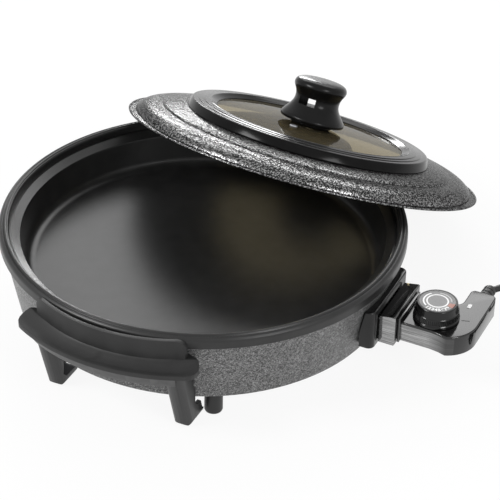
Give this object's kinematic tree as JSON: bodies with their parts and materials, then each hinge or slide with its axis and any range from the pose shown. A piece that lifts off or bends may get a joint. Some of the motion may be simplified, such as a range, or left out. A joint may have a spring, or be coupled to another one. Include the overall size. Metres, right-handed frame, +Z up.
{
  "type": "electric pizza pan",
  "caption": "Round electric pizza pan standing on two handle feet, with a plug-in thermostat and mains lead and a loose domed lid with a glass window, leaning on its rear edge.",
  "frame": {"origin": "centre of the pan's cooking floor", "axes": "+Z up out of the pan, +X towards the plug-in thermostat, the handles on -Y and +Y; the lid leans on the +Y side"},
  "size_m": [0.6301, 0.613, 0.1804],
  "materials": {
    "pan_coating": "black non-stick, semi-gloss",
    "skirt_enamel": "black and silver hammered paint",
    "lid_enamel": "black and silver hammered paint",
    "handle_plastic": "fine matte",
    "black_plastic": "glossy",
    "lid_plastic": "satin",
    "smoked_glass": "clear, smoked",
    "silicone": "matte",
    "zinc_steel": "satin",
    "screw_steel": "satin",
    "element_sheath": "dull",
    "ceramic": "unglazed ceramic",
    "brass": "plain",
    "copper_alloy": "plain",
    "dial_metal": "brushed",
    "white_lens": "translucent",
    "rubber": "matte",
    "cord_sheath": "satin",
    "tie_plastic": "plain"
  },
  "bodies": {
    "base": {"pan": "pan_coating", "outer_skirt": "skirt_enamel", "base_plate": "zinc_steel", "heat_shield": "zinc_steel", "shield_spacers": "zinc_steel", "base_feet": "rubber", "base_screws": "screw_steel", "heating_element": "element_sheath", "element_clips": "zinc_steel", "clip_screws": "screw_steel", "terminal_plate": "zinc_steel", "pin_bushes": "ceramic", "socket_shroud": "black_plastic", "shroud_screws": "screw_steel", "front_handle": "handle_plastic", "rear_handle": "handle_plastic", "handle_washers": "zinc_steel", "handle_screws": "screw_steel"},
    "lid": {"lid_dome": "lid_enamel", "lid_glass": "smoked_glass", "glass_gasket": "silicone", "glass_ring": "lid_plastic", "vent_eyelet": "zinc_steel", "knob_collar": "lid_plastic", "knob": "lid_plastic", "knob_washer": "silicone", "knob_screw": "screw_steel"},
    "thermostat": {"plug_nose": "black_plastic", "pin_sockets": "brass", "probe": "zinc_steel", "housing_base": "black_plastic", "housing_cover": "black_plastic", "housing_screws": "screw_steel", "thermostat_block": "ceramic", "bimetal_strip": "copper_alloy", "contact_springs": "brass", "pilot_lamp": "white_lens", "indicator_lens": "white_lens", "cord_boot": "rubber", "cord_run": "cord_sheath", "cord_coil": "cord_sheath", "cord_tie": "tie_plastic", "cord_tail": "cord_sheath", "plug_body": "rubber", "plug_pins": "zinc_steel"},
    "dial": {"dial_knob": "black_plastic", "dial_plate": "dial_metal", "dial_spindle": "zinc_steel"}
  },
  "joints": [
    {"name": "lid_lift", "type": "slide", "parent": "base", "child": "lid", "axis": [0, 0, 1], "range_m": [0, 0.12]},
    {"name": "thermostat_pull", "type": "slide", "parent": "base", "child": "thermostat", "axis": [1, 0, 0], "range_m": [0, 0.09]},
    {"name": "dial_turn", "type": "hinge", "parent": "thermostat", "child": "dial", "pos_m": [0.2586, 0, 0.02], "axis": [0, 0, 1], "range_deg": [-270, 0]}
  ]
}
